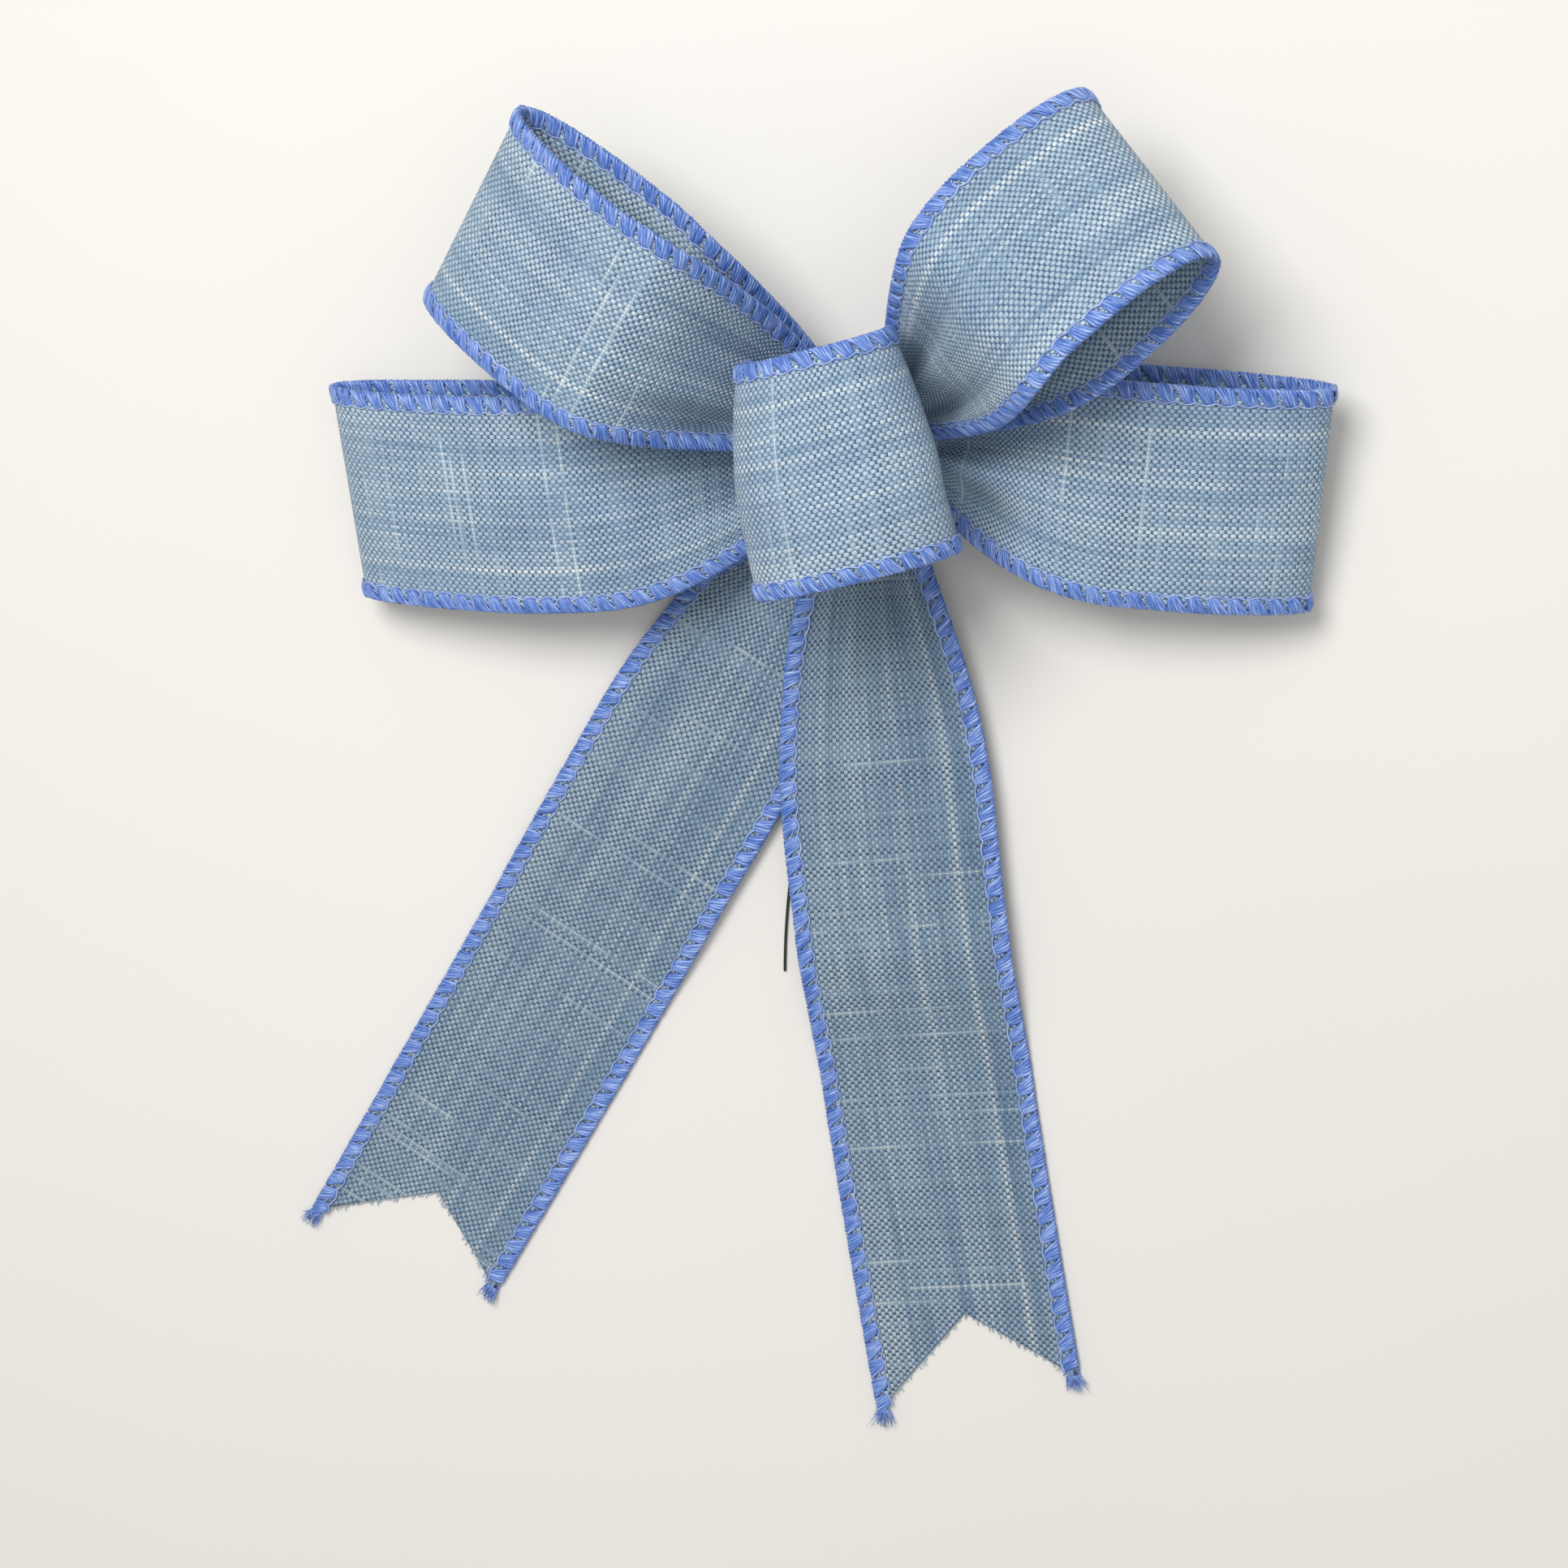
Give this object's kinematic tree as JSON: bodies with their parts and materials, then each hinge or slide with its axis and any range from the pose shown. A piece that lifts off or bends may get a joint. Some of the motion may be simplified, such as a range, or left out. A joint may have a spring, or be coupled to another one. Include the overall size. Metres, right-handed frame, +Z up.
{
  "type": "pre-made gift bow",
  "caption": "Ready-made gift bow of wired-edge woven ribbon: loops, a centre loop and notched tails, gathered by a twisted tie wire.",
  "frame": {"origin": "middle of the bow's outline, on the plane it lies on", "axes": "+Z up out of the face of the bow, which lies on its back; +Y from the tails towards the upper loops; +X to the right seen from the front"},
  "size_m": [0.1848, 0.2287, 0.0514],
  "materials": {
    "ribbon_cloth": "matte plain weave of pale and dark blue yarns",
    "edge_stitching": "lustrous overlock thread",
    "edge_wire": "thin bare wire, hidden in the stitched edge",
    "tie_wire": "dark green enamelled florist wire"
  },
  "bodies": {
    "core": {"gathered_core": "ribbon_cloth", "tie_wire": "tie_wire"},
    "lower_left_loop": {"lower_left_loop_cloth": "ribbon_cloth", "lower_left_loop_left_edge_stitching": "edge_stitching", "lower_left_loop_left_edge_wire": "edge_wire", "lower_left_loop_right_edge_stitching": "edge_stitching", "lower_left_loop_right_edge_wire": "edge_wire"},
    "lower_right_loop": {"lower_right_loop_cloth": "ribbon_cloth", "lower_right_loop_left_edge_stitching": "edge_stitching", "lower_right_loop_left_edge_wire": "edge_wire", "lower_right_loop_right_edge_stitching": "edge_stitching", "lower_right_loop_right_edge_wire": "edge_wire"},
    "upper_left_loop": {"upper_left_loop_cloth": "ribbon_cloth", "upper_left_loop_left_edge_stitching": "edge_stitching", "upper_left_loop_left_edge_wire": "edge_wire", "upper_left_loop_right_edge_stitching": "edge_stitching", "upper_left_loop_right_edge_wire": "edge_wire"},
    "upper_right_loop": {"upper_right_loop_cloth": "ribbon_cloth", "upper_right_loop_left_edge_stitching": "edge_stitching", "upper_right_loop_left_edge_wire": "edge_wire", "upper_right_loop_right_edge_stitching": "edge_stitching", "upper_right_loop_right_edge_wire": "edge_wire"},
    "centre_loop": {"centre_loop_cloth": "ribbon_cloth", "centre_loop_left_edge_stitching": "edge_stitching", "centre_loop_left_edge_wire": "edge_wire", "centre_loop_right_edge_stitching": "edge_stitching", "centre_loop_right_edge_wire": "edge_wire"},
    "left_tail": {"left_tail_cloth": "ribbon_cloth", "left_tail_left_edge_stitching": "edge_stitching", "left_tail_left_edge_wire": "edge_wire", "left_tail_right_edge_stitching": "edge_stitching", "left_tail_right_edge_wire": "edge_wire"},
    "right_tail": {"right_tail_cloth": "ribbon_cloth", "right_tail_left_edge_stitching": "edge_stitching", "right_tail_left_edge_wire": "edge_wire", "right_tail_right_edge_stitching": "edge_stitching", "right_tail_right_edge_wire": "edge_wire"},
    "left_wire_end": {"tie_wire_left_end": "tie_wire"},
    "right_wire_end": {"tie_wire_right_end": "tie_wire"}
  },
  "joints": [
    {"name": "lower_left_loop_fan", "type": "hinge", "parent": "core", "child": "lower_left_loop", "pos_m": [0.00424, 0.056, 0.0065], "axis": [0, 0, 1], "range_deg": [-2, 10]},
    {"name": "lower_right_loop_fan", "type": "hinge", "parent": "core", "child": "lower_right_loop", "pos_m": [0.02255, 0.05595, 0.0061], "axis": [0, 0, 1], "range_deg": [-10, 2]},
    {"name": "upper_left_loop_lift", "type": "hinge", "parent": "core", "child": "upper_left_loop", "pos_m": [0.00572, 0.06196, 0.0129], "axis": [0.5505, 0.8348, 0], "range_deg": [-1, 4]},
    {"name": "upper_right_loop_lift", "type": "hinge", "parent": "core", "child": "upper_right_loop", "pos_m": [0.02034, 0.06294, 0.0129], "axis": [0.6561, -0.7547, 0], "range_deg": [-1, 4]},
    {"name": "centre_loop_swivel", "type": "hinge", "parent": "core", "child": "centre_loop", "pos_m": [0.0134, 0.0569, 0.0172], "axis": [0, 0, 1], "range_deg": [-8, 8]},
    {"name": "left_tail_swing", "type": "hinge", "parent": "core", "child": "left_tail", "pos_m": [0.0134, 0.0569, 0.0024], "axis": [0, 0, 1], "range_deg": [-8, 8]},
    {"name": "right_tail_swing", "type": "hinge", "parent": "core", "child": "right_tail", "pos_m": [0.0134, 0.0569, 0.0047], "axis": [0, 0, 1], "range_deg": [-8, 8]},
    {"name": "left_wire_end_bend", "type": "hinge", "parent": "core", "child": "left_wire_end", "pos_m": [0.01307, 0.0361, 0.00062], "axis": [0, 0, 1], "range_deg": [-15, 6]},
    {"name": "right_wire_end_bend", "type": "hinge", "parent": "core", "child": "right_wire_end", "pos_m": [0.01373, 0.0361, 0.00062], "axis": [0, 0, 1], "range_deg": [-6, 18]}
  ]
}
